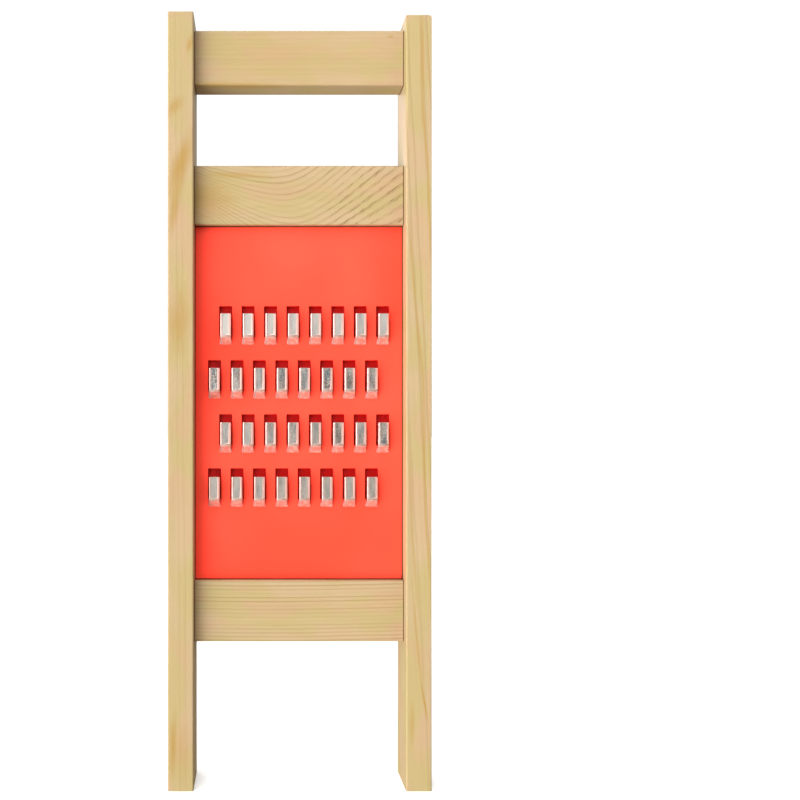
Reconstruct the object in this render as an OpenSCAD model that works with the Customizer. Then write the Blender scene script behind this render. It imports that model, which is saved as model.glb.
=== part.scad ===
// Washboard: a pine frame on two legs, with a red plate that carries staggered rows of steel teeth.
// X runs to the right, the toothed side faces -Y, and Z is up from the feet.

/* [Frame] */
// Height of the left upright
frame_h = 546; // [450:1:680]
// Clear width between the two uprights
clear_w = 149; // [148:1:220]
// Width of each upright, seen from the front
stile_w = 18; // [15:0.5:30]
// Depth of each upright, from front to back
stile_d = 36; // [30:0.5:50]
// How much lower the right upright ends at its top
right_drop = 2.5; // [0:0.5:6]
// Radius of the eased edges along the timbers
edge_r = 1; // [0.4:0.1:2]

/* [Rails] */
// Thickness of the three rails
rail_t = 18; // [15:0.5:28]
// Height of the top rail, which is the handle
top_rail_h = 39; // [32:1:50]
// Height of the upper rail, above the plate
upper_rail_h = 42; // [32:1:50]
// Height of the lower rail, below the plate
lower_rail_h = 43.5; // [32:0.5:50]
// Distance from the top rail to the left upright's top
top_inset = 9; // [7:1:20]
// Height of the finger gap under the top rail
handle_gap = 57; // [45:1:80]
// Length of the legs below the lower rail
leg_h = 102.5; // [60:0.5:130]

/* [Joints] */
// Thickness of the stub tenons on the rails
tenon_t = 6; // [4:0.5:8]
// Length of the stub tenons
tenon_l = 9; // [6:0.5:11]
// Shoulder above and below each tenon
shoulder_h = 8; // [7:0.5:9]
// Clearance round tenons in their mortises
tenon_fit = 0.1; // [0.05:0.05:0.3]
// Depth of a groove past the edge of the plate or the end of a tenon
groove_spare = 0.6; // [0.2:0.1:1.5]

/* [Plate] */
// Thickness of the plate
plate_t = 6; // [5:0.1:8]
// How far the plate's edge sits in the grooves
plate_in = 6; // [4:0.5:6]
// Clearance on each face of the plate in the grooves
plate_fit = 0.15; // [0.05:0.05:0.4]
// Floor left behind each pocket
pocket_floor = 1.2; // [0.8:0.1:2]
// Corner radius of a pocket
pocket_r = 0.5; // [0.2:0.1:1]

/* [Teeth] */
// Rows of teeth
rows = 4; // [2:1:4]
// Teeth in a row
columns = 8; // [4:1:8]
// Distance between neighbouring teeth in a row
column_pitch = 16.1; // [13:0.1:17]
// Distance between rows
row_pitch = 38.8; // [34:0.1:44]
// How far each row is moved sideways, in turn right and left
stagger = 4; // [0:0.5:4.5]
// How far the field of teeth sits below the middle of the plate
field_drop = 2.5; // [-5:0.5:5]
// Width of a tooth
tooth_w = 7.8; // [6.9:0.1:10]
// Length of a tooth's flat face
tooth_l = 16.5; // [12:0.1:20]
// Height of the flat face above the plate
tooth_rise = 5; // [4:0.1:6]
// Length of the ramp from the flat face down to the plate
ramp_l = 5; // [4:0.1:6]
// Thickness of the steel
steel_t = 0.8; // [0.5:0.05:1]
// Side clearance between a tooth and its pocket
tooth_gap = 0.8; // [0.3:0.05:0.8]
// Height of the open mouth above a tooth's edge
mouth_h = 5.9; // [4:0.1:7]
// How far a tooth's sides reach into its pocket
skirt_in = 3; // [1:0.1:3.5]
// Width of the rim round the dished face
rim_w = 1.3; // [0.8:0.1:2]
// Depth of the dish in the flat face
dish_d = 0.25; // [0.1:0.05:0.3]
// Width of the tail that passes through the plate
tail_w = 6.3; // [5:0.1:6.8]
// Length of the tail bent flat behind the plate
tail_l = 6; // [3:0.5:8]

/* [Screws] */
// Length of a screw
screw_l = 40; // [35:1:45]
// Diameter of a screw's shank
shank_d = 3.5; // [3:0.1:4.5]
// Diameter of a screw's head
head_d = 7; // [6:0.1:9]
// Straight rim of a screw's head, above its cone
head_rim = 0.3; // [0.2:0.1:0.6]
// How deep the head sits below the side of the upright
head_sunk = 0.5; // [0.2:0.1:2]
// Radial clearance round a screw
screw_fit = 0.05; // [0.03:0.01:0.2]

/* [Hidden] */
$fn = 48;

// Heights of the rails' lower edges above the feet
lower_z = leg_h;
upper_z = frame_h - top_inset - top_rail_h - handle_gap - upper_rail_h;
top_z = frame_h - top_inset - top_rail_h;
opening_z = lower_z + lower_rail_h;
opening_h = upper_z - opening_z;

// The plate stands in the middle of the rails' thickness
plate_front = -plate_t / 2;
plate_w = clear_w + 2 * plate_in;
plate_h = opening_h + 2 * plate_in;
groove_d = plate_in + groove_spare;
groove_t = plate_t + 2 * plate_fit;
mortise_d = tenon_l + groove_spare;
stile_x = clear_w / 2;

// A tooth is drawn from the foot of its ramp: out is distance in front of the plate, up is height
seat = 0.05;
edge_up = ramp_l + tooth_l;
unit_h = edge_up + mouth_h;
pocket_w = tooth_w + 2 * tooth_gap;
pocket_d = plate_t - pocket_floor;
slope = ramp_l / tooth_rise;
slit_fit = 0.1;
grind_l = 1.4 * steel_t;
field_z = opening_z + opening_h / 2 - field_drop;

screw_up = [lower_z + lower_rail_h / 2, upper_z + upper_rail_h / 2, top_z + top_rail_h / 2];
head_cone = (head_d - shank_d) / 2;
slot_w = 1;
slot_d = 0.9;

TEETH = [for (r = [1:rows], c = [1:columns]) str("tooth_r", r, "_c", c)];
FRAME = ["left_stile", "right_stile", "top_rail", "upper_rail", "lower_rail", "rubbing_plate"];
SCREWS = ["left_screws", "right_screws"];

function tooth_x(r, c) = (c - (columns + 1) / 2) * column_pitch + (r % 2 == 1 ? stagger : -stagger);
function tooth_z(r) = field_z + ((rows + 1) / 2 - r) * row_pitch - unit_h / 2;

// The strip's outline turns at two bends, so its inner side is the outer side moved by the thickness
ramp_out = [ramp_l, -tooth_rise] / norm([ramp_l, tooth_rise]);
bend_out = ([1, 0] + ramp_out) / (1 + ramp_out[0]);
function ramp_point(out, in) = [out, (out - tooth_rise) * slope + ramp_l + in * norm([1, slope])];

// Rounded rectangle, from its lower left corner
module soft_square(w, h, r) {
    translate([r, 0]) square([w - 2 * r, h]);
    translate([0, r]) square([w, h - 2 * r]);
    for (x = [r, w - r], y = [r, h - r]) translate([x, y]) circle(r);
}

// Upright bar with eased long edges, from its lower left front corner
module upright_bar(w, d, h) {
    linear_extrude(h) soft_square(w, d, edge_r);
}

// Level bar with eased long edges, centred across X and Y
module level_bar(l, t, h) {
    translate([-l / 2, -t / 2, 0])
        rotate([90, 0, 90]) linear_extrude(l) soft_square(t, h, edge_r);
}

// A shape in the plane of out and up, given a width across X and set in front of the plate
module across(w) {
    translate([-w / 2, plate_front, 0])
        rotate([90, 0, 90]) linear_extrude(w) scale([-1, 1]) children();
}

// Holes for the three screws of one upright, which open towards -X
module screw_bores() {
    shank_r = shank_d / 2 + screw_fit;
    head_r = head_d / 2 + screw_fit;
    seat_depth = head_sunk + head_rim;
    for (z = screw_up) translate([-stile_w, 0, z]) rotate([0, 90, 0]) {
        translate([0, 0, -1]) cylinder(h = 1 + head_sunk + screw_l + groove_spare, r = shank_r);
        translate([0, 0, -1]) cylinder(h = 1 + seat_depth, r = head_r);
        translate([0, 0, seat_depth]) cylinder(h = head_cone, r1 = head_r, r2 = shank_r);
    }
}

// One upright with its inner face on the YZ plane and its body towards -X
module stile(h) {
    difference() {
        translate([-stile_w, -stile_d / 2, 0]) upright_bar(stile_w, stile_d, h);
        mortise(lower_z, lower_rail_h);
        mortise(upper_z, upper_rail_h);
        mortise(top_z, top_rail_h);
        translate([-groove_d, -groove_t / 2, opening_z - shoulder_h])
            cube([groove_d + 1, groove_t, opening_h + 2 * shoulder_h]);
        screw_bores();
    }
}

module mortise(z, rail_h) {
    t = tenon_t + 2 * tenon_fit;
    h = rail_h - 2 * shoulder_h + 2 * tenon_fit;
    translate([-mortise_d, -t / 2, z + shoulder_h - tenon_fit]) cube([mortise_d + 1, t, h]);
}

// One rail with stub tenons; grooved is 1 for a groove in its upper edge, -1 in its lower edge
module rail(z, h, grooved) {
    tenon_span = clear_w + 2 * tenon_l;
    groove_z = grooved > 0 ? z + h - groove_d : z - 1;
    difference() {
        union() {
            translate([0, 0, z]) level_bar(clear_w, rail_t, h);
            translate([-tenon_span / 2, -tenon_t / 2, z + shoulder_h])
                cube([tenon_span, tenon_t, h - 2 * shoulder_h]);
        }
        if (grooved != 0) translate([-clear_w / 2 - 1, -groove_t / 2, groove_z])
            cube([clear_w + 2, groove_t, groove_d + 1]);
        for (side = [0, 1]) mirror([side, 0, 0]) translate([-stile_x, 0, 0]) screw_bores();
    }
}

// Three countersunk wood screws, with a slot in each head
module screws() {
    for (z = screw_up) translate([-stile_w + head_sunk, 0, z]) rotate([0, 90, 0]) difference() {
        rotate_extrude() polygon([
            [0, 0], [head_d / 2, 0], [head_d / 2, head_rim], [shank_d / 2, head_rim + head_cone],
            [shank_d / 2, screw_l - shank_d], [0, screw_l]
        ]);
        translate([-head_d, -slot_w / 2, -1]) cube([2 * head_d, slot_w, 1 + slot_d]);
    }
}

module left_stile() {
    color("burlywood") translate([-stile_x, 0, 0]) stile(frame_h);
}

module right_stile() {
    color("burlywood") mirror([1, 0, 0]) translate([-stile_x, 0, 0]) stile(frame_h - right_drop);
}

module top_rail() {
    color("tan") rail(top_z, top_rail_h, 0);
}

module upper_rail() {
    color("wheat") rail(upper_z, upper_rail_h, -1);
}

module lower_rail() {
    color("wheat") rail(lower_z, lower_rail_h, 1);
}

module left_screws() {
    color("goldenrod") translate([-stile_x, 0, 0]) screws();
}

module right_screws() {
    color("goldenrod") mirror([1, 0, 0]) translate([-stile_x, 0, 0]) screws();
}

// Pocket under a tooth, and the slit for its tail at the foot of the ramp
module pocket() {
    translate([-pocket_w / 2, plate_front + pocket_d, ramp_l])
        rotate([90, 0, 0]) linear_extrude(pocket_d + 1) soft_square(pocket_w, unit_h - ramp_l, pocket_r);
    across(tail_w + 2 * slit_fit) polygon([
        ramp_point(1, -slit_fit), ramp_point(-plate_t - 1, -slit_fit),
        ramp_point(-plate_t - 1, steel_t + slit_fit), ramp_point(1, steel_t + slit_fit)
    ]);
}

module rubbing_plate() {
    color("orangered") difference() {
        translate([-plate_w / 2, plate_front, opening_z - plate_in]) cube([plate_w, plate_t, plate_h]);
        for (r = [1:rows], c = [1:columns]) translate([tooth_x(r, c), 0, tooth_z(r)]) pocket();
    }
}

// Flat face and ramp, ground to an edge at the top
module tooth_face() {
    bend = [tooth_rise, ramp_l];
    polygon([
        [tooth_rise, edge_up], bend, ramp_point(seat, 0), ramp_point(seat, steel_t),
        bend - steel_t * bend_out, [tooth_rise - steel_t, edge_up - grind_l]
    ]);
}

// Sides turned down from the face, which stand in the pocket and on the plate below it
module tooth_side() {
    polygon([
        [tooth_rise - steel_t / 2, edge_up - grind_l], [tooth_rise - steel_t / 2, ramp_l],
        ramp_point(seat, steel_t / 2), [seat, ramp_l + tooth_gap], [-skirt_in, ramp_l + tooth_gap],
        [-skirt_in, edge_up - tooth_l / 2], [0, edge_up - tooth_l / 4]
    ]);
}

// Tail through the plate, with its end bent flat behind it
module tooth_tail() {
    back = -plate_t - seat;
    turn = ramp_point(back, 0);
    polygon([
        ramp_point(2 * seat, 0), turn, turn - [0, tail_l], turn - [steel_t, tail_l],
        turn - steel_t * bend_out, ramp_point(2 * seat, steel_t)
    ]);
}

module tooth() {
    difference() {
        union() {
            across(tooth_w) tooth_face();
            for (side = [-1, 1]) translate([side * (tooth_w - steel_t) / 2, 0, 0])
                across(steel_t) tooth_side();
            across(tail_w) tooth_tail();
        }
        translate([rim_w - tooth_w / 2, plate_front - tooth_rise + dish_d, ramp_l + rim_w])
            rotate([90, 0, 0]) linear_extrude(1)
                soft_square(tooth_w - 2 * rim_w, tooth_l - 2 * rim_w, pocket_r);
    }
}

module set_tooth(r, c) {
    color("silver") translate([tooth_x(r, c), 0, tooth_z(r)]) tooth();
}

left_stile();
right_stile();
top_rail();
upper_rail();
lower_rail();
rubbing_plate();
left_screws();
right_screws();
for (r = [1:rows], c = [1:columns])
    set_tooth(r, c);
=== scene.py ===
"""Washboard: a pine frame on two legs, with a red rubbing plate and staggered rows of pressed steel teeth."""

import math
import random
from collections import namedtuple

import bmesh
import bpy
from bpy.props import FloatProperty, FloatVectorProperty, PointerProperty
from mathutils import Matrix, Vector


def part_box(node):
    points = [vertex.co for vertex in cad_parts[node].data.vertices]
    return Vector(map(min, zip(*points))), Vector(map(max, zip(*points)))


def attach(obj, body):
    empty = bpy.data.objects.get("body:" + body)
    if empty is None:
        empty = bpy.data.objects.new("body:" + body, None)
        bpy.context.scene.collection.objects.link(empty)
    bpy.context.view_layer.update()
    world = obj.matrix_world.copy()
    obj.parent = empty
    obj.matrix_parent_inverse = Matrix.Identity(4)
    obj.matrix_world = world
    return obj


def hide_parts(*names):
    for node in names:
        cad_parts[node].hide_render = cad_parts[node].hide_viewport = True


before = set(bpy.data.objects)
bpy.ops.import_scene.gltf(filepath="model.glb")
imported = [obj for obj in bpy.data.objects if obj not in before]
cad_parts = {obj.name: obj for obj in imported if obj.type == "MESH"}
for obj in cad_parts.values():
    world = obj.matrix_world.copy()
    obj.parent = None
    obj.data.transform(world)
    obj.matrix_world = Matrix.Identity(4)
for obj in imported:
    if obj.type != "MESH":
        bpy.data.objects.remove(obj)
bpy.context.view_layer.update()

bl_info = {
    "name": "Washboard",
    "version": (1, 0, 0),
    "blender": (4, 5, 0),
    "location": "3D View > Sidebar > Washboard",
    "description": "Builds a pine washboard with a red plate and pressed steel teeth",
    "category": "Add Mesh",
}

MM = 0.001
RAILS = ("top_rail", "upper_rail", "lower_rail")
STILES = ("left_stile", "right_stile")
ROWS = 4
COLUMNS = 8
BORE_SIDES = 32
SCREW_SIDES = 40
PRESS_SEED = 7
FLOOR_RADIUS = 30.0

# Least and most tarnish on the teeth of each row, from the top row down
TARNISH = [(0.15, 0.40), (0.65, 1.1), (0.5, 0.9), (0.4, 0.7)]

# Steps of the dish pressed into a tooth's face, in millimetres: how far in from the last step, and how deep
DISH_STEPS = [(0.25, 0.0), (0.3, 0.06), (0.4, 0.10), (0.6, 0.06)]

# How a board was sawn. Lengths are in millimetres from the board's middle: along its length, across its
# front face, and deep from front to back.
#   heart    where the heart of the tree lay, across and deep
#   vertex   where the growth lines turn, along the board
#   sweep    their course: slope of the valley's sides, slope of its floor, and half width of the floor
#   ring     width of a growth ring at the vertex
#   widen    how much wider the rings grow per length along the board
#   taper    how far the lines drift across per length along the board
#   wave     how far the lines wander
#   late     how dark the lines are, from 0 to 1
#   uneven   how much the lines differ from each other, from 0 to 1
#   dash     how dark the pores along the lines are, from 0 to 1
#   marks    streaks, knots and a patch of painted shade: along, across, half length, half width, lean in degrees, and strength
Board = namedtuple(
    "Board",
    "node upright heart vertex sweep ring widen taper wave late uneven dash marks",
)


# ---------------------------------------------------------------- sizes and colours


def size(name, description, default_mm):
    """A length in the settings, given in millimetres."""
    return FloatProperty(
        name=name, description=description, default=default_mm * MM, min=0.0, unit="LENGTH", precision=5
    )


def light(name, description, default):
    """The strength of a light in the settings."""
    return FloatProperty(name=name, description=description, default=default, min=0.0)


def tone(name, description, default):
    """A colour in the settings."""
    return FloatVectorProperty(
        name=name, description=description, default=default, min=0.0, max=1.0, size=3, subtype="COLOR"
    )


class TimberSettings(bpy.types.PropertyGroup):
    """Sizes and colours of the pine frame."""

    arris: size("Long edge radius", "Radius of the eased edges along the timbers", 1.0)
    end_ease: size("End edge radius", "Radius of the eased edges round the cut ends", 0.45)
    worn_corner: size("Worn corner", "Radius of the right upright's outer top corner", 2.2)
    shoulder: size("Tenon shoulder", "Height of the shoulder above and below a tenon", 8.0)
    tenon: size("Tenon thickness", "Thickness of the stub tenons", 6.0)
    fit: size("Joint clearance", "Clearance round a tenon in its mortise", 0.1)
    groove_spare: size("Groove spare", "Depth of a groove past the edge of what it holds", 0.6)
    plate_fit: size("Plate clearance", "Clearance on each face of the plate in its grooves", 0.15)
    early: tone("Early wood", "Pale wood between the growth lines", (0.350, 0.254, 0.140))
    late: tone("Late wood", "Darker wood of the growth lines", (0.200, 0.120, 0.040))
    honey: tone("Honey tone", "Yellow drift in the pale wood", (0.325, 0.252, 0.110))
    rose: tone("Rose tone", "Pink drift in the pale wood", (0.362, 0.232, 0.131))
    pore: tone("Pore", "Dark pores along the growth lines", (0.15, 0.085, 0.035))
    # Painted shade: this tone also paints a warm shaded patch at the upper rail's left end
    resin: tone("Resin tone", "Orange streaks where the wood holds resin", (0.295, 0.180, 0.047))
    # Painted shade: the dark tone of the shaded gaps at the joints and round the plate, and of the shaded
    # corners beside it
    gap: tone("Joint line", "Dark line where timbers and plate meet", (0.050, 0.018, 0.007))


class PlateSettings(bpy.types.PropertyGroup):
    """Sizes and colours of the red rubbing plate."""

    pocket_depth: size("Pocket depth", "Depth of the pocket behind a tooth", 4.8)
    pocket_gap: size("Pocket side gap", "Clearance between a tooth and its pocket", 0.8)
    mouth: size("Pocket mouth", "Open height of a pocket above a tooth's edge", 5.9)
    pocket_corner: size("Pocket corner", "Corner radius of a pocket", 0.5)
    rim_ease: size("Pocket rim radius", "Radius of the moulded edge round a pocket", 0.22)
    slit_fit: size("Slit clearance", "Clearance round a tail in its slit", 0.1)
    red: tone("Red", "Colour of the plate", (1.0, 0.051, 0.025))
    # Painted shade: the darker, deeper red painted inside the pockets, where they lie in shade
    pocket_shade_red: tone("Pocket red", "Colour of the plate inside the pockets", (0.50, 0.001, 0.0005))
    # Partly painted sheen: this paler red stands both for the plate dulled by washing and for the soft sheen
    # on it
    scuffed_sheen_red: tone("Scuffed red", "Colour where washing has dulled the plate", (1.0, 0.086, 0.048))


class ToothSettings(bpy.types.PropertyGroup):
    """Sizes and colours of the pressed steel teeth."""

    width: size("Width", "Width of a tooth", 7.8)
    flat: size("Flat length", "Length of the flat face", 16.5)
    rise: size("Rise", "Height of the flat face above the plate", 5.0)
    ramp: size("Ramp length", "Length of the ramp from the flat face down to the plate", 5.0)
    steel: size("Steel thickness", "Thickness of the steel strip", 0.8)
    skirt: size("Skirt depth", "How far the sides reach into the pocket", 3.0)
    skirt_gap: size("Skirt gap", "Gap between a side's lower end and the edge of the pocket", 0.55)
    seat: size("Seat", "Gap between the bent strip and the plate", 0.05)
    bend: size("Side bend radius", "Outer radius where the sides turn down", 0.85)
    brow: size("Ramp bend radius", "Outer radius where the ramp meets the flat face", 1.1)
    flare: size("Ramp flare", "How much wider each side of the ramp is at its foot", 0.8)
    tail_width: size("Tail width", "Width of the tail that passes through the plate", 6.3)
    tail_length: size("Tail length", "Length of the tail bent flat behind the plate", 6.0)
    edge_break: size("Edge break", "Size of the broken edges of the strip", 0.09)
    # Painted highlight and reflection: the left rim is painted lighter, as lit from the left, and the right
    # rim pinker with the red plate's reflection
    bright: tone("Bright steel", "Rubbed steel on the left rim", (0.86, 0.65, 0.60))
    flushed: tone("Flushed steel", "Steel with a breath of red on the right rim", (0.84, 0.51, 0.44))
    # Painted reflection: the red plate's reflection painted on the ramp
    ramp_reflection_red: tone("Red ramp", "Steel of the ramp, flushed by the plate below it", (0.62, 0.165, 0.125))
    pale: tone("Pale steel", "Clean steel in the dish", (0.88, 0.83, 0.77))
    cool: tone("Cool steel", "Bluish tarnish in the dish", (0.205, 0.235, 0.25))
    warm: tone("Warm steel", "Brownish tarnish in the dish", (0.28, 0.235, 0.21))
    # Painted shade: the dark red of the turned-down sides, which stand in the shaded pocket
    flank_shade: tone("Flank", "Stained steel of the turned-down sides", (0.16, 0.008, 0.005))


class ScrewSettings(bpy.types.PropertyGroup):
    """Sizes and colours of the wood screws."""

    head: size("Head diameter", "Diameter of a screw's head", 7.0)
    shank: size("Shank diameter", "Diameter of a screw's shank", 3.5)
    length: size("Length", "Length of a screw", 40.0)
    rim: size("Head rim", "Straight rim of the head above its cone", 0.3)
    sunk: size("Sunk depth", "How deep the head sits below the upright's side", 0.5)
    fit: size("Bore clearance", "Radial clearance round a screw", 0.05)
    slot_width: size("Slot width", "Width of the slot in the head", 1.0)
    slot_depth: size("Slot depth", "Depth of the slot in the head", 0.9)
    edge_ease: size("Rim ease", "Size of the eased edge of the head", 0.12)
    edge_break: size("Edge break", "Size of the broken edges of a screw", 0.06)
    zinc: tone("Yellow zinc", "Colour of the plated steel", (0.72, 0.58, 0.30))
    worn: tone("Worn zinc", "Colour where the plating has worn thin", (0.62, 0.60, 0.55))


class StageSettings(bpy.types.PropertyGroup):
    """The floor, the light and the camera."""

    eye: FloatVectorProperty(
        name="Camera place",
        description="Where the camera stands",
        default=(-0.0312, -0.608, 0.253),
        size=3,
        subtype="TRANSLATION",
        unit="LENGTH",
    )
    lens: FloatProperty(name="Lens", description="Focal length in millimetres", default=37.93, min=1.0)
    aim_right: FloatProperty(name="Shift right", description="Sideways shift of the view", default=0.181)
    aim_up: FloatProperty(name="Shift up", description="Upward shift of the view", default=0.0375)
    ambient: light("Ambient light", "Strength of the even light", 0.50)
    backdrop: light("Backdrop", "Brightness of the white background", 1.05)
    low: light("Low light", "Strength of the broad light from the lower left", 6.8)
    high: light("High light", "Strength of the broad light from the upper left", 2.3)
    top: light("Top light", "Strength of the broad light from above", 1.4)
    back: light("Back light", "Strength of the broad light from behind", 1.5)
    fill: light("Fill light", "Power of the card at the front right, in watts", 7.0)
    spread: FloatProperty(
        name="Light spread",
        description="Width of the broad lights as an angle",
        default=math.radians(64),
        subtype="ANGLE",
    )
    floor: tone("Floor", "Colour of the floor", (0.95, 0.95, 0.95))
    floor_bounce: tone("Floor bounce", "Colour of the light that the floor throws back", (0.22, 0.19, 0.15))


# ---------------------------------------------------------------- mesh helpers


def block(bm, low, high):
    """Adds a box between two corners and returns its vertices."""
    made = bmesh.ops.create_cube(bm, size=1.0)["verts"]
    low = Vector(low)
    high = Vector(high)
    bmesh.ops.scale(bm, vec=high - low, verts=made)
    bmesh.ops.translate(bm, vec=(low + high) / 2, verts=made)
    return made


def soften(bm, edges, radius, segments=4):
    """Rounds edges."""
    bmesh.ops.bevel(
        bm,
        geom=edges,
        offset=radius,
        offset_type="OFFSET",
        affect="EDGES",
        segments=segments,
        profile=0.5,
        material=-1,
    )


def runs_along(edge, axis):
    """Whether an edge runs along an axis, 0 for X, 1 for Y and 2 for Z."""
    step = edge.verts[1].co - edge.verts[0].co
    return abs(step[axis]) > 0.999 * step.length


def spun(bm, profile, steps):
    """Adds a closed turned solid round the X axis from points of (distance along X, radius)."""
    verts = [bm.verts.new((x, 0, radius)) for x, radius in profile]
    edges = [bm.edges.new(pair) for pair in zip(verts, verts[1:])]
    bmesh.ops.spin(
        bm,
        geom=verts + edges,
        cent=(0, 0, 0),
        axis=(1, 0, 0),
        angle=math.tau,
        steps=steps,
        use_merge=True,
    )
    bmesh.ops.remove_doubles(bm, verts=bm.verts, dist=1e-6)
    bmesh.ops.recalc_face_normals(bm, faces=bm.faces)


def object_from(bm, name):
    """Makes an object of a bmesh and frees the bmesh."""
    mesh = bpy.data.meshes.new(name)
    bm.to_mesh(mesh)
    bm.free()
    made = bpy.data.objects.new(name, mesh)
    bpy.context.scene.collection.objects.link(made)
    return made


def settle(piece):
    """Makes a piece's modifiers part of its mesh."""
    graph = bpy.context.evaluated_depsgraph_get()
    mesh = bpy.data.meshes.new_from_object(
        piece.evaluated_get(graph), preserve_all_data_layers=True, depsgraph=graph
    )
    piece.modifiers.clear()
    piece.data = mesh


def carve(piece, cutter_bm):
    """Cuts the solids of a bmesh out of a piece."""
    cutter = object_from(cutter_bm, "cutter")
    cut = piece.modifiers.new("cut", "BOOLEAN")
    cut.operation = "DIFFERENCE"
    cut.solver = "EXACT"
    cut.object = cutter
    settle(piece)
    bpy.data.objects.remove(cutter)


def break_edges(piece, width, segments=2):
    """Rounds the sharp edges that are left and shades the piece smoothly between them."""
    bevel = piece.modifiers.new("broken_edges", "BEVEL")
    bevel.width = width
    bevel.segments = segments
    bevel.limit_method = "ANGLE"
    bevel.angle_limit = math.radians(40)
    bevel.use_clamp_overlap = True
    settle(piece)
    piece.data.shade_smooth()
    piece.data.set_sharp_from_angle(angle=math.radians(50))
    weights = piece.modifiers.new("even_shading", "WEIGHTED_NORMAL")
    weights.keep_sharp = True
    weights.weight = 100
    settle(piece)


def hand_over(piece, material, slot, *nodes):
    """Gives a piece its finish, puts it on the frame's one body and lets it stand for its CAD nodes."""
    piece.data.materials.clear()
    piece.data.materials.append(material)
    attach(piece, "root")
    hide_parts(*nodes)


# ---------------------------------------------------------------- material helpers


class Finish:
    """A material, with short calls that add and join its nodes."""

    def __init__(self, name):
        self.material = bpy.data.materials.new(name)
        self.material.use_nodes = True
        self.tree = self.material.node_tree
        self.tree.nodes.clear()

    def add(self, kind, *values, **settings):
        """Adds a node, sets its properties and fills its sockets in order."""
        made = self.tree.nodes.new(kind)
        for key, value in settings.items():
            setattr(made, key, value)
        for socket, value in zip(made.inputs, values):
            self.put(socket, value)
        return made

    def put(self, socket, value):
        """Links or sets one socket; None leaves it as it is."""
        if isinstance(value, bpy.types.NodeSocket):
            self.tree.links.new(value, socket)
        elif value is not None:
            socket.default_value = value

    def sum(self, operation, *values):
        """One step of arithmetic."""
        return self.add("ShaderNodeMath", *values, operation=operation).outputs[0]

    def ease(self, value, start, end, low=0.0, high=1.0):
        """Turns a value smoothly from low at start to high at end."""
        made = self.add(
            "ShaderNodeMapRange", value, start, end, low, high, interpolation_type="SMOOTHSTEP"
        )
        return made.outputs[0]

    def scale(self, vector, factors):
        """A position stretched by three factors."""
        return self.add("ShaderNodeVectorMath", vector, factors, operation="MULTIPLY").outputs[0]

    def noise(self, vector, scale, detail=2.0, rough=0.5):
        """Soft noise from 0 to 1."""
        made = self.add("ShaderNodeTexNoise")
        self.put(made.inputs["Vector"], vector)
        made.inputs["Scale"].default_value = scale
        made.inputs["Detail"].default_value = detail
        made.inputs["Roughness"].default_value = rough
        return made.outputs[0]

    def blend(self, factor, below, above, mode="MIX"):
        """Two colours, blended."""
        made = self.add("ShaderNodeMix", data_type="RGBA", blend_type=mode)
        made.clamp_factor = True
        self.put(made.inputs[0], factor)
        self.put(made.inputs[6], solid(below))
        self.put(made.inputs[7], solid(above))
        return made.outputs[2]

    def shade(self, colour, roughness, height, depth, metal=0.0, **constants):
        """Ends the material with a surface, its bump and its constants."""
        bump = self.add("ShaderNodeBump")
        bump.inputs["Distance"].default_value = depth
        bump.inputs["Strength"].default_value = 1.0
        self.put(bump.inputs["Height"], height)
        surface = self.add("ShaderNodeBsdfPrincipled")
        self.put(surface.inputs["Base Color"], solid(colour))
        self.put(surface.inputs["Roughness"], roughness)
        self.put(surface.inputs["Metallic"], metal)
        self.put(surface.inputs["Normal"], bump.outputs[0])
        for name, value in constants.items():
            surface.inputs[name.replace("_", " ").title().replace("Ior", "IOR")].default_value = value
        self.add("ShaderNodeOutputMaterial", surface.outputs[0])
        return self.material


def solid(colour):
    """A colour property as the four numbers that a socket takes; a socket stays as it is."""
    if isinstance(colour, bpy.types.NodeSocket):
        return colour
    return (*colour[:3], 1.0)


# ---------------------------------------------------------------- pine


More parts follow.
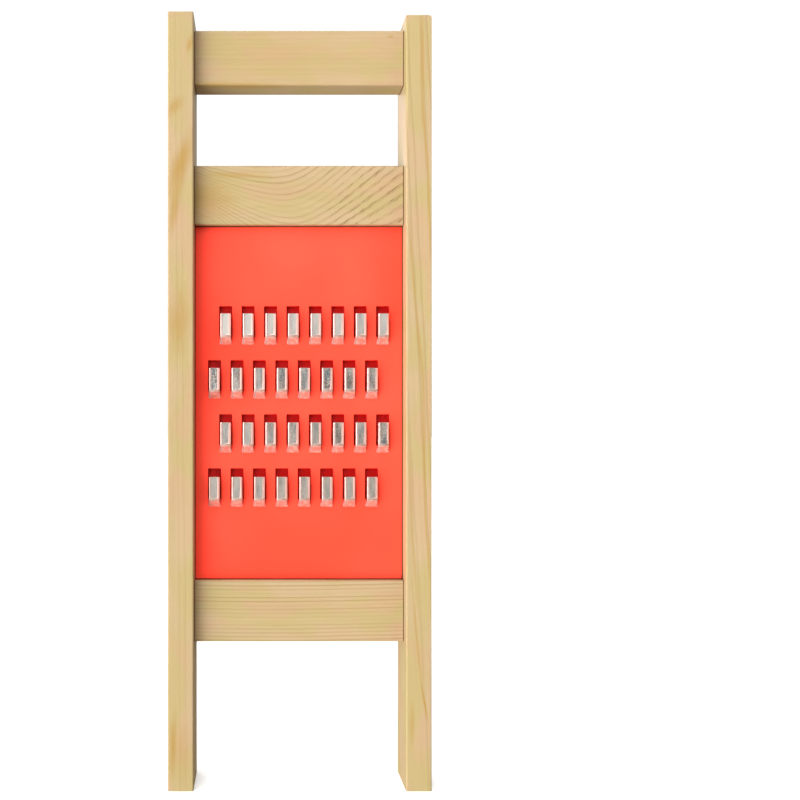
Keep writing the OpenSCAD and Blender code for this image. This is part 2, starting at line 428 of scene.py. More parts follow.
BOARDS = {
    "left_stile": Board(
        node="left_stile", upright=True, heart=(-70, 40), vertex=0, sweep=(0, 0, 1), ring=3.1, widen=0,
        taper=0.006, wave=0.8, late=0.16, uneven=1.0, dash=0.0,
        marks=[
            (166, 0, 34, 8, 18, 1.0),
            (136, -4, 26, 5, 10, 0.8),
            (250, 6.5, 8, 3, 10, 0.9),
            (207, -4, 12, 6, 45, 0.75),
            (57, -1, 30, 11, 4, 0.75),
            (-240, -5, 30, 3.5, 2, 0.9),
            (-248, 1, 30, 9, 0, 0.4),
        ],
    ),
    "right_stile": Board(
        node="right_stile", upright=True, heart=(-60, 25), vertex=0, sweep=(0, 0, 1), ring=3.7, widen=0,
        taper=0.045, wave=1.6, late=0.34, uneven=1.0, dash=0.0,
        marks=[
            (237, 2.2, 60, 2.2, -0.7, 0.75),
            (187, 4.2, 46, 1.7, -4.2, 0.75),
            (135, 7.0, 60, 1.4, -2.3, 0.6),
            (103, -5.2, 46, 1.3, -4.6, 0.65),
            (45, -0.1, 66, 1.5, -5.5, 0.7),
            (-30, 3.5, 76, 1.5, -1.0, 0.75),
            (-95, 5.6, 50, 1.3, -3.3, 0.6),
            (-63, -6.0, 55, 1.5, -2.1, 0.5),
            (-113, -3.1, 45, 1.3, -4.6, 0.5),
            (-166, -1.4, 55, 1.4, -5.3, 0.65),
            (-210, 3.9, 22, 1.1, -10, 1.1),
            (-224, -4.9, 20, 2.6, 0, 0.6),
        ],
    ),
    "top_rail": Board(
        node="top_rail", upright=False, heart=(130, 30), vertex=0, sweep=(0, 0, 1), ring=3.4, widen=0,
        taper=0.004, wave=0.7, late=0.12, uneven=0.6, dash=0.0,
        marks=[
            (65, 15, 3, 1.2, 0, 0.9),
            (-20, 0, 110, 40, 0, 0.22),
            (-50, -20, 60, 4, 0, 0.9),
        ],
    ),
    "upper_rail": Board(
        node="upper_rail", upright=False, heart=(-90, 5), vertex=-1, sweep=(0.7, 0.3, 22), ring=4.4,
        widen=0.035, taper=0.0, wave=0.8, late=0.48, uneven=0.75, dash=0.7,
        # The second mark is painted shade: a warm, darker patch at the left end, where the left upright
        # shades the rail
        marks=[(-45, 14, 26, 2.5, -2, 0.7), (-72, -2, 34, 22, -10, 0.8)],
    ),
    "lower_rail": Board(
        node="lower_rail", upright=False, heart=(-160, 10), vertex=-20, sweep=(0.03, 0, 60), ring=2.75,
        widen=0.0, taper=0.0, wave=0.3, late=0.50, uneven=0.8, dash=0.0,
        marks=[],
    ),
}


def growth_lines(pine, board, along, across, deep):
    """The late wood of a board's growth rings, from 0 to 1."""
    spot = pine.add("ShaderNodeCombineXYZ", along, across, deep).outputs[0]
    slow = pine.noise(pine.scale(spot, (1.0, 2.2, 2.2)), 14.0, 1.0)
    fine = pine.noise(pine.scale(spot, (1.0, 3.0, 3.0)), 70.0, 2.0)
    wave = pine.sum("MULTIPLY_ADD", slow, 2 * board.wave * MM, -board.wave * MM)
    wave = pine.sum("MULTIPLY_ADD", fine, 0.3 * board.wave * MM, wave)
    run = pine.sum("SUBTRACT", along, board.vertex * MM)
    valley, climb, width = board.sweep
    curve = pine.sum("MULTIPLY_ADD", run, run, (width * MM) ** 2)
    curve = pine.sum("MULTIPLY_ADD", pine.sum("SQRT", curve), valley, -valley * width * MM)
    curve = pine.sum("MULTIPLY_ADD", run, climb, curve)
    side = pine.sum("SUBTRACT", pine.sum("ADD", across, wave), curve)
    side = pine.sum("SUBTRACT", side, board.heart[0] * MM)
    back = pine.sum("SUBTRACT", deep, board.heart[1] * MM)
    reach = pine.sum("POWER", side, 2.0)
    reach = pine.sum("SQRT", pine.sum("ADD", reach, pine.sum("POWER", back, 2.0)))
    reach = pine.sum("SUBTRACT", reach, math.hypot(*board.heart) * MM)
    reach = pine.sum("MULTIPLY_ADD", run, board.taper, reach)
    step = pine.sum("MULTIPLY_ADD", run, board.widen, board.ring * MM)
    step = pine.sum("MAXIMUM", step, 2.2 * MM)
    ring = pine.sum("DIVIDE", reach, step)
    phase = pine.sum("FRACT", ring)
    own = pine.add("ShaderNodeTexWhiteNoise", noise_dimensions="1D")
    pine.put(own.inputs["W"], pine.sum("FLOOR", ring))
    strength = pine.sum("MULTIPLY_ADD", own.outputs[0], board.uneven, 1 - board.uneven)
    rise = pine.ease(phase, 0.42, 0.86)
    fall = pine.ease(phase, 0.88, 1.0, 1.0, 0.0)
    line = pine.sum("MULTIPLY", rise, fall)
    return pine.sum("MULTIPLY", line, strength), reach, spot


def joint_and_corner_shade(pine, node, place, middle):
    """Where painted shade darkens the wood, from 0 to 1: a dark line at a rail's shoulders and a darkening in
    the corners round the plate.
    """
    low, high = opening()
    if node == "top_rail":
        low.z = high.z = 2 * middle.z
    x, y, z = (pine.sum("ADD", value, offset) for value, offset in zip(place, middle))
    centre = (low + high) / 2
    half = (high - low) / 2
    beside = pine.sum("ABSOLUTE", pine.sum("SUBTRACT", x, centre.x))
    above = pine.sum("ABSOLUTE", pine.sum("SUBTRACT", z, centre.z))
    depth = pine.sum("ABSOLUTE", y)
    # Painted shade in the corners beside the plate, fading out over 4.5 mm from its faces
    corner = pine.ease(depth, high.y, high.y + 4.5 * MM, 0.9, 0.0)
    if node.endswith("stile"):
        wall = pine.ease(beside, half.x + 0.3 * MM, half.x + 0.6 * MM, 1.0, 0.0)
        inside = pine.ease(above, half.z, half.z + 0.5 * MM, 1.0, 0.0)
        return pine.sum("MULTIPLY", corner, pine.sum("MULTIPLY", wall, inside))
    # Painted shade: a dark line at a rail's shoulders, where the joint's gap lies in shade
    shoulder = pine.ease(beside, half.x - 0.9 * MM, half.x - 0.3 * MM, 0.0, 0.95)
    wall = pine.ease(above, half.z + 0.3 * MM, half.z + 0.6 * MM, 1.0, 0.0)
    return pine.sum("MAXIMUM", shoulder, pine.sum("MULTIPLY", corner, wall))


def pine_finish(board, timber):
    """Planed pine, with the growth lines, streaks and tones of one board."""
    pine = Finish("pine_" + board.node)
    low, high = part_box(board.node)
    middle = (low + high) / 2
    place = pine.add("ShaderNodeTexCoord").outputs["Object"]
    centred = pine.add("ShaderNodeMapping", place, -middle).outputs[0]
    x, y, z = pine.add("ShaderNodeSeparateXYZ", centred).outputs
    along, across = (z, x) if board.upright else (x, z)
    lines, reach, spot = growth_lines(pine, board, along, across, y)

    # Slow drifts of tone between the growth lines
    drift = pine.noise(pine.scale(spot, (1.0, 2.0, 2.0)), 22.0, 1.0)
    patch = pine.noise(pine.scale(spot, (0.7, 1.6, 1.6)), 46.0, 1.0)
    colour = pine.blend(pine.ease(drift, 0.38, 0.60), timber.early, timber.honey)
    colour = pine.blend(pine.ease(patch, 0.45, 0.68, 0.0, 0.65), colour, timber.rose)
    colour = pine.blend(pine.sum("MULTIPLY", lines, board.late), colour, timber.late)

    # Streaks, knots and a patch of painted shade, which are soft ellipsoids centred on the front face
    ragged = pine.noise(pine.scale(spot, (0.4, 1.5, 1.5)), 160.0, 2.0)
    front = -(high.y - low.y) / 2
    for m_along, m_across, length, width, lean, tint in board.marks:
        turned = pine.add("ShaderNodeMapping", spot, vector_type="TEXTURE")
        turned.inputs["Location"].default_value = (m_along * MM, m_across * MM, front)
        turned.inputs["Rotation"].default_value = (0, 0, math.radians(lean))
        turned.inputs["Scale"].default_value = (length * MM, width * MM, 8 * MM)
        away = pine.add("ShaderNodeVectorMath", turned.outputs[0], operation="LENGTH").outputs["Value"]
        away = pine.sum("MULTIPLY_ADD", ragged, 0.5, away)
        mark = pine.ease(away, 0.25, 1.35, tint, 0.0)
        colour = pine.blend(mark, colour, timber.resin)

    # Short dark pores, drawn out along the growth lines and stronger towards one end
    if board.dash:
        stretched = pine.add("ShaderNodeCombineXYZ", reach, pine.sum("MULTIPLY", along, 0.13), y).outputs[0]
        pores = pine.noise(stretched, 1300.0, 1.0)
        dash = pine.sum("MULTIPLY", pine.ease(pores, 0.52, 0.64), pine.ease(lines, 0.05, 0.35))
        dash = pine.sum("MULTIPLY", dash, pine.ease(along, 5 * MM, 45 * MM, 0.10, board.dash))
        colour = pine.blend(dash, colour, timber.pore)

    # Fine fibres, which also roughen and raise the surface
    fibre = pine.noise(pine.scale(spot, (0.035, 1.0, 1.0)), 1500.0, 3.0, 0.6)
    strand = pine.noise(pine.scale(spot, (0.02, 1.0, 1.0)), 420.0, 2.0)
    shade = pine.sum("MULTIPLY_ADD", fibre, 0.16, 0.85)
    shade = pine.sum("MULTIPLY_ADD", strand, 0.14, shade)
    grey = pine.add("ShaderNodeCombineColor", shade, shade, shade).outputs[0]
    colour = pine.blend(1.0, colour, grey, "MULTIPLY")
    height = pine.sum("MULTIPLY_ADD", lines, 0.35, pine.sum("MULTIPLY", fibre, 0.65))
    roughness = pine.sum("MULTIPLY_ADD", fibre, 0.16, 0.44)
    roughness = pine.sum("MULTIPLY_ADD", lines, -0.08, roughness)
    # Painted shade at the joints and in the corners round the plate
    colour = pine.blend(joint_and_corner_shade(pine, board.node, (x, y, z), middle), colour, timber.gap)
    return pine.shade(colour, roughness, height, 0.10 * MM, specular_ior_level=0.3)


def screw_heights():
    """Heights of the screws, which are the middles of the rails."""
    boxes = [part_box(node) for node in reversed(RAILS)]
    return [(low.z + high.z) / 2 for low, high in boxes]


def cut_for_screws(piece, screws):
    """Cuts the countersunk bores for the screws of both uprights out of a timber."""
    cutter = bmesh.new()
    shank = screws.shank / 2 + screws.fit
    head = screws.head / 2 + screws.fit
    cone = (screws.head - screws.shank) / 2
    seat = screws.sunk + screws.rim
    end = screws.sunk + screws.length + 0.6 * MM
    profile = [(-MM, 0), (-MM, head), (seat, head), (seat + cone, shank), (end, shank), (end, 0)]
    spun(cutter, profile, BORE_SIDES)
    one = cutter.verts[:] + cutter.edges[:] + cutter.faces[:]
    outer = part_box("left_stile")[0].x
    copies = []
    for height in screw_heights():
        for side in (1, -1):
            turn = Matrix.Translation((side * outer, 0, height)) @ Matrix.Rotation(
                0 if side == 1 else math.pi, 4, "Z"
            )
            made = bmesh.ops.duplicate(cutter, geom=one)["geom"]
            verts = [v for v in made if isinstance(v, bmesh.types.BMVert)]
            copies.append((verts, turn))
    for verts, turn in copies:
        bmesh.ops.transform(cutter, matrix=turn, verts=verts)
    bmesh.ops.delete(cutter, geom=[v for v in one if isinstance(v, bmesh.types.BMVert)], context="VERTS")
    carve(piece, cutter)


def opening():
    """Lowest and highest corner of the opening that shows the plate, at the plate's faces."""
    plate_low, plate_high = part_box("rubbing_plate")
    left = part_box("left_stile")[1].x
    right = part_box("right_stile")[0].x
    low = Vector((left, plate_low.y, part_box("lower_rail")[1].z))
    high = Vector((right, plate_high.y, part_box("upper_rail")[0].z))
    return low, high


def plate_groove(timber):
    """Corners of the space that the grooves leave for the plate."""
    low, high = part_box("rubbing_plate")
    spare = Vector((timber.groove_spare, timber.plate_fit, timber.groove_spare))
    return low - spare, high + spare


def make_upright(node, settings):
    """Builds one upright, with its mortises, its stopped groove and its screw bores."""
    timber = settings.timber
    low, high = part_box(node)
    bm = bmesh.new()
    block(bm, low, high)
    top = [e for e in bm.edges if runs_along(e, 1) and min(v.co.z for v in e.verts) > high.z - MM]
    if node == "right_stile":
        soften(bm, [e for e in top if e.verts[0].co.x > high.x - MM], timber.worn_corner)
    long_edges = [e for e in bm.edges if runs_along(e, 2)]
    soften(bm, long_edges, timber.arris)
    piece = object_from(bm, "pine_" + node)

    cutter = bmesh.new()
    for rail in reversed(RAILS):
        rail_low, rail_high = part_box(rail)
        reach = rail_high.x + timber.groove_spare
        half = timber.tenon / 2 + timber.fit
        bottom = rail_low.z + timber.shoulder - timber.fit
        block(cutter, (-reach, -half, bottom), (reach, half, rail_high.z - timber.shoulder + timber.fit))
    carve(piece, cutter)
    cutter = bmesh.new()
    groove_low, groove_high = plate_groove(timber)
    block(cutter, groove_low, groove_high)
    carve(piece, cutter)
    cut_for_screws(piece, settings.screws)
    break_edges(piece, timber.end_ease)
    hand_over(piece, pine_finish(BOARDS[node], timber), "pine", node)


def make_rail(node, settings):
    """Builds one rail, with a stub tenon at each end and a groove where the plate enters it."""
    timber = settings.timber
    low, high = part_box(node)
    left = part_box("left_stile")[1].x
    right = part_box("right_stile")[0].x
    bm = bmesh.new()
    block(bm, (left, low.y, low.z), (right, high.y, high.z))
    soften(bm, [e for e in bm.edges if runs_along(e, 0)], timber.arris)
    ends = [f for f in bm.faces if abs(f.normal.x) > 0.9]
    for end in ends:
        side = math.copysign(1.0, end.normal.x)
        height = high.z - low.z
        narrow = Vector((1, timber.tenon / (high.y - low.y), (height - 2 * timber.shoulder) / height))
        stub = bmesh.ops.extrude_discrete_faces(bm, faces=[end])["faces"][0]
        centre = Matrix.Translation(-stub.calc_center_median())
        bmesh.ops.scale(bm, vec=narrow, verts=stub.verts, space=centre)
        tip = bmesh.ops.extrude_discrete_faces(bm, faces=[stub])["faces"][0]
        bmesh.ops.translate(bm, vec=(side * (high.x - right), 0, 0), verts=tip.verts)
    piece = object_from(bm, "pine_" + node)
    if node != "top_rail":
        cutter = bmesh.new()
        groove_low, groove_high = plate_groove(timber)
        block(cutter, groove_low, groove_high)
        carve(piece, cutter)
    cut_for_screws(piece, settings.screws)
    break_edges(piece, timber.end_ease)
    hand_over(piece, pine_finish(BOARDS[node], timber), "pine", node)


# ---------------------------------------------------------------- plate


def tooth_nodes():
    """Every tooth's row and node name."""
    return [(row, f"tooth_r{row}_c{column + 1}") for row in range(1, ROWS + 1) for column in range(COLUMNS)]


def tooth_foot(node, teeth):
    """The foot of a tooth's ramp on the plate's front face."""
    low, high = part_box(node)
    return Vector(((low.x + high.x) / 2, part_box("rubbing_plate")[0].y, high.z - teeth.flat - teeth.ramp))


def slanted(bm, width, low_out, high_out, low_in, high_in):
    """Adds a bar that slants down through the plate at the ramp's angle, between two depths."""
    step = Vector((0, 1, -1)).normalized()
    across = Vector((0, 1, 1)).normalized()
    near = -high_out * Vector((0, 1, -1))
    far = -low_out * Vector((0, 1, -1))
    made = block(bm, (-width / 2, 0, low_in), (width / 2, (far - near).length, high_in))
    axes = Matrix((Vector((1, 0, 0)), step, across)).transposed().to_4x4()
    bmesh.ops.transform(bm, matrix=Matrix.Translation(near) @ axes, verts=made)
    return made


def cut_pocket(cutter, place, teeth, plate):
    """Adds the cutter for one pocket and for the slit of its tail."""
    half = teeth.width / 2 + plate.pocket_gap
    top = teeth.ramp + teeth.flat + plate.mouth
    before = set(cutter.verts)
    block(cutter, (-half, -MM, teeth.ramp), (half, plate.pocket_depth, top))
    own = [e for e in cutter.edges if not set(e.verts) & before]
    soften(cutter, [e for e in own if runs_along(e, 1)], plate.pocket_corner, 3)
    thick = teeth.steel + plate.slit_fit
    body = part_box("rubbing_plate")
    depth = body[1].y - body[0].y
    slanted(cutter, teeth.tail_width + 2 * plate.slit_fit, -depth - MM, MM, -plate.slit_fit, thick)
    fresh = [v for v in cutter.verts if v not in before]
    bmesh.ops.translate(cutter, vec=place, verts=fresh)


def red_finish(plate, timber):
    """Moulded red plastic, softly dulled by washing, with painted sheen in paler patches, painted shade in
    its pockets and a dark line of painted shade where it enters the timbers.
    """
    red = Finish("red_plastic")
    place = red.add("ShaderNodeTexCoord").outputs["Object"]
    x, y, z = red.add("ShaderNodeSeparateXYZ", place).outputs
    low, high = opening()
    middle = (low + high) / 2
    half = (high - low) / 2
    clouds = red.noise(place, 9.0, 2.0)
    speckle = red.noise(place, 900.0, 2.0)
    brushed = red.noise(red.scale(place, (1.0, 1.0, 0.03)), 700.0, 3.0, 0.6)
    wiped = red.noise(red.scale(place, (0.05, 1.0, 1.0)), 260.0, 2.0)
    # Paler cloudy patches, partly the plate dulled by washing and partly painted sheen
    colour = red.blend(red.ease(clouds, 0.35, 0.7, 0.0, 0.55), plate.red, plate.scuffed_sheen_red)
    # Painted shade: from just behind the front face the pockets are painted a darker, deeper red, stopping
    # short of the back face
    inside = red.ease(y, low.y + 0.15 * MM, low.y + 1.6 * MM)
    behind = red.ease(y, high.y - 0.9 * MM, high.y - 0.5 * MM, 1.0, 0.0)
    colour = red.blend(red.sum("MULTIPLY", inside, behind), colour, plate.pocket_shade_red)
    # Painted shade: a dark line on the plate along the edges of the opening, where it enters the shaded
    # grooves
    beside = red.sum("SUBTRACT", red.sum("ABSOLUTE", red.sum("SUBTRACT", x, middle.x)), half.x)
    above = red.sum("SUBTRACT", red.sum("ABSOLUTE", red.sum("SUBTRACT", z, middle.z)), half.z)
    border = red.ease(red.sum("MAXIMUM", beside, above), -0.9 * MM, -0.2 * MM, 0.0, 0.95)
    colour = red.blend(border, colour, timber.gap)
    roughness = red.sum("MULTIPLY_ADD", clouds, 0.16, 0.27)
    roughness = red.sum("MULTIPLY_ADD", wiped, 0.08, roughness)
    height = red.sum("MULTIPLY_ADD", brushed, 0.5, red.sum("MULTIPLY", speckle, 0.5))
    return red.shade(colour, roughness, height, 0.012 * MM, specular_ior_level=0.18)


def make_plate(settings):
    """Builds the rubbing plate, with a blind pocket and a slit for each tooth."""
    low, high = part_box("rubbing_plate")
    bm = bmesh.new()
    block(bm, low, high)
    piece = object_from(bm, "red_rubbing_plate")
    cutter = bmesh.new()
    for _, node in tooth_nodes():
        cut_pocket(cutter, tooth_foot(node, settings.teeth), settings.teeth, settings.plate)
    carve(piece, cutter)
    break_edges(piece, settings.plate.rim_ease)
    hand_over(piece, red_finish(settings.plate, settings.timber), "red_plate", "rubbing_plate")


# ---------------------------------------------------------------- teeth


def press_tooth(teeth, chance):
    """Bends one tooth of steel strip, with its ramp's foot at the origin. Y is depth and Z is height."""
    top = teeth.ramp + teeth.flat
    rise, skirt, seat = teeth.rise, teeth.skirt, teeth.seat
    inner = teeth.ramp + teeth.skirt_gap
    outline = [
        (seat, seat), (rise, teeth.ramp), (rise, top), (0, top - teeth.flat / 4),
        (-skirt, top - teeth.flat / 2), (-skirt, inner), (seat, inner),
    ]
    bm = bmesh.new()
    side = bm.faces.new([bm.verts.new((-teeth.width / 2, -out, up)) for out, up in outline])
    pulled = bmesh.ops.extrude_face_region(bm, geom=[side])["geom"]
    far = [v for v in pulled if isinstance(v, bmesh.types.BMVert)]
    bmesh.ops.translate(bm, vec=(teeth.width, 0, 0), verts=far)
    bmesh.ops.recalc_face_normals(bm, faces=bm.faces)

    def front(face):
        return face.normal.y < -0.1 and abs(face.normal.x) < 0.5

    brow = [e for e in bm.edges if runs_along(e, 0) and all(front(f) for f in e.link_faces)]
    soften(bm, brow, teeth.brow)
    bm.normal_update()
    sides = [e for e in bm.edges if sorted(front(f) for f in e.link_faces) == [False, True]]
    sides = [e for e in sides if not runs_along(e, 0)]
    soften(bm, sides, teeth.bend)
    bm.normal_update()
    for v in bm.verts:
        if v.co.y < 0 and v.co.z < teeth.ramp:
            v.co.x += math.copysign(teeth.flare * (1 - v.co.z / teeth.ramp), v.co.x)
    bm.normal_update()
    hidden = [f for f in bm.faces if f.normal.y > -0.02 and abs(f.normal.x) < 0.5]
    bmesh.ops.delete(bm, geom=hidden, context="FACES")

    face = max((f for f in bm.faces if f.normal.y < -0.99), key=lambda f: f.calc_area())
    sink = chance.uniform(0.8, 1.2)
    for step, drop in DISH_STEPS:
        bmesh.ops.inset_individual(bm, faces=[face], thickness=step * MM, depth=-drop * sink * MM)

    foot = min(
        (e for e in bm.edges if runs_along(e, 0) and e.calc_length() > teeth.width / 2),
        key=lambda e: e.verts[0].co.z,
    )
    plate_low, plate_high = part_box("rubbing_plate")
    through = plate_high.y - plate_low.y + 2 * seat
    edge = foot
    for step in ((0, through, -through), (0, 0, -teeth.tail_length)):
        pulled = bmesh.ops.extrude_edge_only(bm, edges=[edge])["geom"]
        verts = [v for v in pulled if isinstance(v, bmesh.types.BMVert)]
        bmesh.ops.translate(bm, vec=step, verts=verts)
        if step[1]:
            narrow = teeth.tail_width / edge.calc_length()
            bmesh.ops.scale(bm, vec=(narrow, 1, 1), verts=verts)
        turn = edge
        edge = next(e for e in pulled if isinstance(e, bmesh.types.BMEdge) and set(e.verts) == set(verts))
    soften(bm, [turn], teeth.steel, 3)

    outer = set(bm.verts)
    bm.normal_update()
    bmesh.ops.solidify(bm, geom=bm.faces[:], thickness=teeth.steel)
    # The inner skin stops short of the upper edge, which is ground to a bevel
    ground = [v for v in bm.verts if v not in outer and v.co.z > top - MM]
    bmesh.ops.translate(bm, vec=(0, 0, -1.4 * teeth.steel), verts=ground)
    bmesh.ops.remove_doubles(bm, verts=bm.verts, dist=1e-6)
    bmesh.ops.recalc_face_normals(bm, faces=bm.faces)
    return bm


def steel_finish(teeth):
    """Pressed steel: rims with a painted highlight on the left and a painted red reflection on the right, a
    dish dulled more on some teeth than on others, a ramp painted with the red plate's reflection, and flanks
    painted with shade.
    """
    steel = Finish("pressed_steel")
    place = steel.add("ShaderNodeTexCoord").outputs["Object"]
    own = steel.add("ShaderNodeAttribute", attribute_name="from_foot").outputs["Vector"]
    across, depth, up = steel.add("ShaderNodeSeparateXYZ", own).outputs
    tarnish = steel.add("ShaderNodeAttribute", attribute_name="tarnish").outputs["Fac"]
    mottle = steel.noise(place, 420.0, 3.0, 0.65)
    speckle = steel.noise(place, 900.0, 2.0, 0.6)
    tint = steel.noise(place, 75.0, 1.0)
    streak = steel.noise(steel.scale(place, (1.0, 1.0, 0.08)), 1900.0, 2.0)
    ragged = steel.sum("MULTIPLY_ADD", mottle, MM, -0.5 * MM)
    from_side = steel.sum("ADD", steel.sum("ABSOLUTE", across), ragged)
    half = teeth.width / 2

    # The dish, with a ragged outline
    edge = steel.sum("MULTIPLY_ADD", mottle, 2.6 * MM, teeth.ramp - 0.6 * MM)
    middle = steel.ease(from_side, half - 2.3 * MM, half - 1.3 * MM, 1.0, 0.0)
    below = steel.sum("SUBTRACT", up, edge)
    below = steel.ease(below, 0.2 * MM, 1.4 * MM)
    above = steel.ease(up, teeth.ramp + teeth.flat - 0.7 * MM, teeth.ramp + teeth.flat - 0.2 * MM, 1.0, 0.35)
    dish = steel.sum("MULTIPLY", steel.sum("MULTIPLY", middle, below), above)

    # Its tarnish, spotted on the dullest teeth
    dull = steel.blend(steel.ease(tint, 0.40, 0.60), teeth.cool, teeth.warm)
    spots = steel.sum("MULTIPLY", steel.ease(speckle, 0.46, 0.66), steel.sum("POWER", tarnish, 3.0))
    soft = steel.ease(steel.noise(steel.scale(place, (1.0, 1.0, 0.3)), 300.0, 1.0), 0.3, 0.7, 0.7, 1.25)
    dullness = steel.sum("SUBTRACT", steel.sum("MULTIPLY", tarnish, soft), steel.sum("MULTIPLY", spots, 0.8))
    dull = steel.blend(dullness, teeth.pale, dull)
    # Painted highlight and reflection on the rims: lighter on the left, where the light comes from, and
    # pinker on the right with the red plate's reflection
    rim = steel.blend(steel.ease(across, -1.0 * MM, 1.5 * MM), teeth.bright, teeth.flushed)
    colour = steel.blend(dish, rim, dull)

    # Painted reflection of the red plate on the ramp, left off along its left edge as a painted highlight,
    # and painted shade on the flanks
    ramp = steel.ease(up, teeth.ramp - 1.0 * MM, teeth.ramp + 0.1 * MM, 1.0, 0.0)
    lit = steel.ease(across, 0.7 * MM - half, 1.5 * MM - half, 0.2, 1.0)
    red = steel.blend(steel.ease(mottle, 0.42, 0.66, 0.0, 0.42), teeth.ramp_reflection_red, teeth.flushed)
    colour = steel.blend(steel.sum("MULTIPLY", ramp, lit), colour, red)
    # Painted shade: the turned-down sides, which stand in the shaded pocket, are painted a dark red
    flank_shade = steel.ease(depth, 0.7 * MM - teeth.rise, 1.4 * MM - teeth.rise)
    beside = steel.ease(steel.sum("ABSOLUTE", across), half - 0.30 * MM, half - 0.12 * MM)
    flank_shade = steel.sum("MULTIPLY", steel.sum("MULTIPLY", flank_shade, beside), steel.ease(up, 0.0, teeth.ramp))
    colour = steel.blend(flank_shade, colour, teeth.flank_shade)

    shade = steel.sum("MULTIPLY_ADD", streak, 0.16, 0.90)
    grey = steel.add("ShaderNodeCombineColor", shade, shade, shade).outputs[0]
    colour = steel.blend(1.0, colour, grey, "MULTIPLY")
    roughness = steel.sum("MULTIPLY_ADD", mottle, 0.16, 0.24)
    height = steel.sum("MULTIPLY_ADD", streak, 0.5, steel.sum("MULTIPLY", mottle, 0.5))
    # The steel is made less metallic where the reflection and the shade are painted, so that the painted
    # colour shows
    reflection_and_shade = steel.sum("MAXIMUM", flank_shade, steel.sum("MULTIPLY", ramp, lit))
    metal = steel.sum("MULTIPLY_ADD", reflection_and_shade, -0.75, 1.0)
    return steel.shade(colour, roughness, height, 0.02 * MM, metal)


def make_teeth(settings):
    """Builds the teeth, each pressed a little differently."""
    teeth = settings.teeth
    chance = random.Random(PRESS_SEED)
    finish = steel_finish(teeth)
    for row, node in tooth_nodes():
        bm = press_tooth(teeth, chance)
        own = [v.co.copy() for v in bm.verts]
        piece = object_from(bm, "steel_" + node)
        local = piece.data.attributes.new("from_foot", "FLOAT_VECTOR", "POINT")
        local.data.foreach_set("vector", [n for co in own for n in co])
        least, most = TARNISH[row - 1]
        dulled = piece.data.attributes.new("tarnish", "FLOAT", "POINT")
        amount = chance.uniform(least, most)
        dulled.data.foreach_set("value", [amount] * len(own))
        piece.data.transform(Matrix.Translation(tooth_foot(node, teeth)))
        break_edges(piece, teeth.edge_break)
        hand_over(piece, finish, "tooth_steel", node)


# ---------------------------------------------------------------- screws


def zinc_finish(screws):
    """Yellow zinc plating, worn on the high spots."""
    zinc = Finish("yellow_zinc")
    place = zinc.add("ShaderNodeTexCoord").outputs["Object"]
    mottle = zinc.noise(place, 700.0, 3.0, 0.6)
    colour = zinc.blend(zinc.ease(mottle, 0.35, 0.7), screws.zinc, screws.worn)
    roughness = zinc.sum("MULTIPLY_ADD", mottle, 0.25, 0.22)
    return zinc.shade(colour, roughness, mottle, 0.02 * MM, metal=1.0)


def make_screws(node, settings, finish):
    """Builds the three slotted screws of one upright."""
    screws = settings.screws
    low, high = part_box(node)
    side = -1 if node == "left_screws" else 1
    start = low.x if side < 0 else high.x
    head = screws.head / 2
    shank = screws.shank / 2
    cone = head - shank
    tip = screws.shank
    ease = screws.edge_ease
    profile = [
        (0, 0), (0, head - ease), (ease, head), (screws.rim, head), (screws.rim + cone, shank),
        (screws.length - tip, shank), (screws.length, 0),
    ]
    bm = bmesh.new()
    for height in screw_heights():
        one = bmesh.new()
        spun(one, profile, SCREW_SIDES)
        piece = object_from(one, "one_screw")
        slot = bmesh.new()
        slot_half = screws.slot_width / 2
        block(slot, (-MM, -head - MM, -slot_half), (screws.slot_depth, head + MM, slot_half))
        # Each screw was driven until it was tight, so the slots stand at different angles
        turn = math.radians(25 + 900 * height)
        bmesh.ops.rotate(slot, cent=(0, 0, 0), matrix=Matrix.Rotation(turn, 3, "X"), verts=slot.verts)
        carve(piece, slot)
        flip = Matrix.Rotation(0 if side < 0 else math.pi, 4, "Z")
        piece.data.transform(Matrix.Translation((start, 0, height)) @ flip)
        bm.from_mesh(piece.data)
        bpy.data.objects.remove(piece)
    group = object_from(bm, "zinc_" + node)
    break_edges(group, screws.edge_break)
    hand_over(group, finish, "screw_steel", node)


# ---------------------------------------------------------------- stage


def add_light(name, kind, place, target, power, **settings):
    """Adds a soft light that points at a target."""
    light = bpy.data.lights.new(name, kind)
    light.energy = power
    for key, value in settings.items():
        setattr(light, key, value)
    made = bpy.data.objects.new(name, light)
    made.location = place
    aim = Vector(target) - Vector(place)
    made.rotation_euler = aim.to_track_quat("-Z", "Y").to_euler()
    bpy.context.scene.collection.objects.link(made)


def make_lights(stage):
    """Adds four broad lights from far away and a card of light at the front right."""
    broad = [
        ("low_light", (-1.0, -0.9, -0.62), stage.low),
        ("high_light", (-0.45, -0.9, 1.0), stage.high),
        ("top_light", (0.1, -0.3, 2.2), stage.top),
        ("back_light", (-0.5, 1.0, 0.6), stage.back),
    ]
    for name, place, power in broad:
        add_light(name, "SUN", place, (0, 0, 0), power, angle=stage.spread)
    card = {"shape": "RECTANGLE", "size": 0.9, "size_y": 1.3}
    add_light("fill_light", "AREA", (1.3, -0.9, 0.4), (0, 0, 0.25), stage.fill, **card)


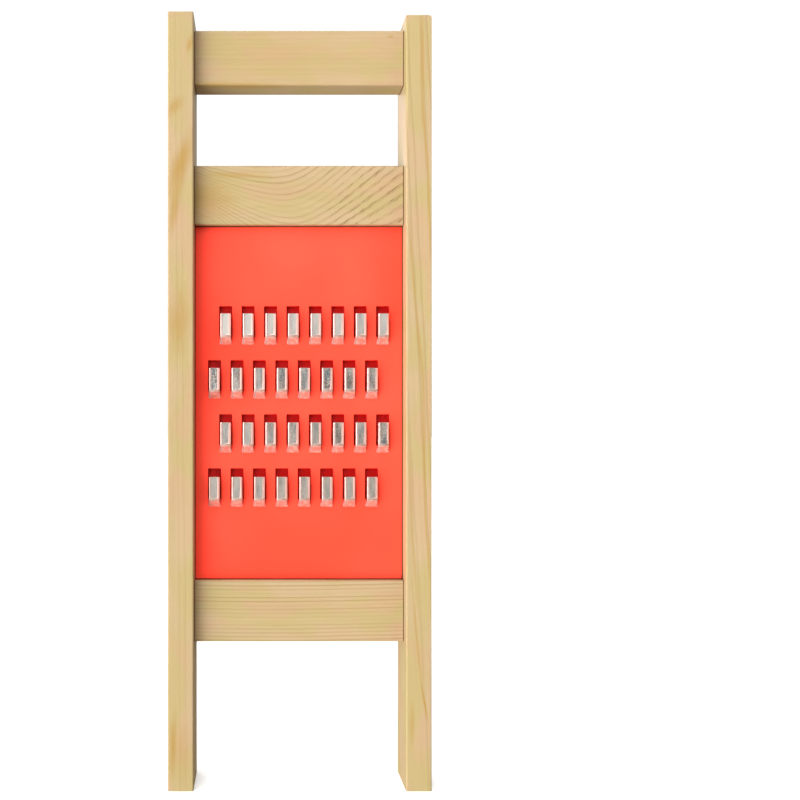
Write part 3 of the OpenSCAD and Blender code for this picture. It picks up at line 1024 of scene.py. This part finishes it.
def make_floor(stage):
    """Adds the plain pale floor, a light table that lets the low light through."""
    bm = bmesh.new()
    bmesh.ops.create_circle(bm, cap_ends=True, segments=64, radius=FLOOR_RADIUS)
    floor = object_from(bm, "floor")
    paper = Finish("pale_floor")
    place = paper.add("ShaderNodeTexCoord").outputs["Object"]
    grain = paper.noise(place, 60.0, 2.0)
    seen = paper.add("ShaderNodeLightPath").outputs["Is Camera Ray"]
    colour = paper.blend(seen, stage.floor_bounce, stage.floor)
    paper.shade(colour, 0.9, grain, 0.02 * MM, specular_ior_level=0.0)
    floor.data.materials.append(paper.material)
    floor.visible_shadow = False


def make_world(stage):
    """Sets an even light, in front of a white background."""
    world = bpy.data.worlds.new("studio")
    world.use_nodes = True
    bpy.context.scene.world = world
    tree = world.node_tree
    tree.nodes.clear()
    seen = tree.nodes.new("ShaderNodeLightPath")
    power = tree.nodes.new("ShaderNodeMix")
    power.inputs[2].default_value = stage.ambient
    power.inputs[3].default_value = stage.backdrop
    tree.links.new(seen.outputs["Is Camera Ray"], power.inputs[0])
    back = tree.nodes.new("ShaderNodeBackground")
    back.inputs["Color"].default_value = (1, 1, 1, 1)
    tree.links.new(power.outputs[0], back.inputs["Strength"])
    out = tree.nodes.new("ShaderNodeOutputWorld")
    tree.links.new(back.outputs[0], out.inputs[0])


def make_camera(stage):
    """Stands the camera in front of the board, level and looking straight at it."""
    camera = bpy.data.cameras.new("camera")
    camera.sensor_width = 36
    camera.lens = stage.lens
    camera.shift_x = stage.aim_right
    camera.shift_y = stage.aim_up
    camera.clip_start = 0.01
    made = bpy.data.objects.new("camera", camera)
    made.location = stage.eye
    made.rotation_euler = (math.radians(90), 0, 0)
    bpy.context.scene.collection.objects.link(made)
    bpy.context.scene.camera = made


# ---------------------------------------------------------------- settings, operators and panel


class WashboardSettings(bpy.types.PropertyGroup):
    """All the washboard's settings."""

    timber: PointerProperty(type=TimberSettings)
    plate: PointerProperty(type=PlateSettings)
    teeth: PointerProperty(type=ToothSettings)
    screws: PointerProperty(type=ScrewSettings)
    stage: PointerProperty(type=StageSettings)


class WASHBOARD_OT_uprights(bpy.types.Operator):
    """Build the two uprights"""

    bl_idname = "washboard.uprights"
    bl_label = "Uprights"

    def execute(self, context):
        for node in STILES:
            make_upright(node, context.scene.washboard)
        return {"FINISHED"}


class WASHBOARD_OT_rails(bpy.types.Operator):
    """Build the three rails"""

    bl_idname = "washboard.rails"
    bl_label = "Rails"

    def execute(self, context):
        for node in RAILS:
            make_rail(node, context.scene.washboard)
        return {"FINISHED"}


class WASHBOARD_OT_plate(bpy.types.Operator):
    """Build the red rubbing plate"""

    bl_idname = "washboard.plate"
    bl_label = "Rubbing plate"

    def execute(self, context):
        make_plate(context.scene.washboard)
        return {"FINISHED"}


class WASHBOARD_OT_teeth(bpy.types.Operator):
    """Build the pressed steel teeth"""

    bl_idname = "washboard.teeth"
    bl_label = "Teeth"

    def execute(self, context):
        make_teeth(context.scene.washboard)
        return {"FINISHED"}


class WASHBOARD_OT_screws(bpy.types.Operator):
    """Build the wood screws"""

    bl_idname = "washboard.screws"
    bl_label = "Screws"

    def execute(self, context):
        settings = context.scene.washboard
        finish = zinc_finish(settings.screws)
        for node in ("left_screws", "right_screws"):
            make_screws(node, settings, finish)
        return {"FINISHED"}


class WASHBOARD_OT_stage(bpy.types.Operator):
    """Set up the floor, the lights and the camera"""

    bl_idname = "washboard.stage"
    bl_label = "Stage"

    def execute(self, context):
        stage = context.scene.washboard.stage
        make_floor(stage)
        make_world(stage)
        make_lights(stage)
        make_camera(stage)
        context.scene.view_settings.view_transform = "Standard"
        return {"FINISHED"}


OPERATORS = (
    WASHBOARD_OT_uprights,
    WASHBOARD_OT_rails,
    WASHBOARD_OT_plate,
    WASHBOARD_OT_teeth,
    WASHBOARD_OT_screws,
    WASHBOARD_OT_stage,
)


class WASHBOARD_PT_sidebar(bpy.types.Panel):
    """Lists the washboard's pieces"""

    bl_label = "Washboard"
    bl_idname = "WASHBOARD_PT_sidebar"
    bl_space_type = "VIEW_3D"
    bl_region_type = "UI"
    bl_category = "Washboard"

    def draw(self, context):
        for operator in OPERATORS:
            self.layout.operator(operator.bl_idname)


CLASSES = (
    TimberSettings,
    PlateSettings,
    ToothSettings,
    ScrewSettings,
    StageSettings,
    WashboardSettings,
    *OPERATORS,
    WASHBOARD_PT_sidebar,
)


def register():
    """Registers the classes and adds the settings to the scene."""
    for made in CLASSES:
        bpy.utils.register_class(made)
    bpy.types.Scene.washboard = PointerProperty(type=WashboardSettings)


def unregister():
    """Takes the settings and the classes away."""
    del bpy.types.Scene.washboard
    for made in reversed(CLASSES):
        bpy.utils.unregister_class(made)


def main():
    """Builds the washboard piece by piece."""
    register()
    bpy.ops.washboard.uprights()
    bpy.ops.washboard.rails()
    bpy.ops.washboard.plate()
    bpy.ops.washboard.teeth()
    bpy.ops.washboard.screws()
    bpy.ops.washboard.stage()


if __name__ == "__main__":
    main()
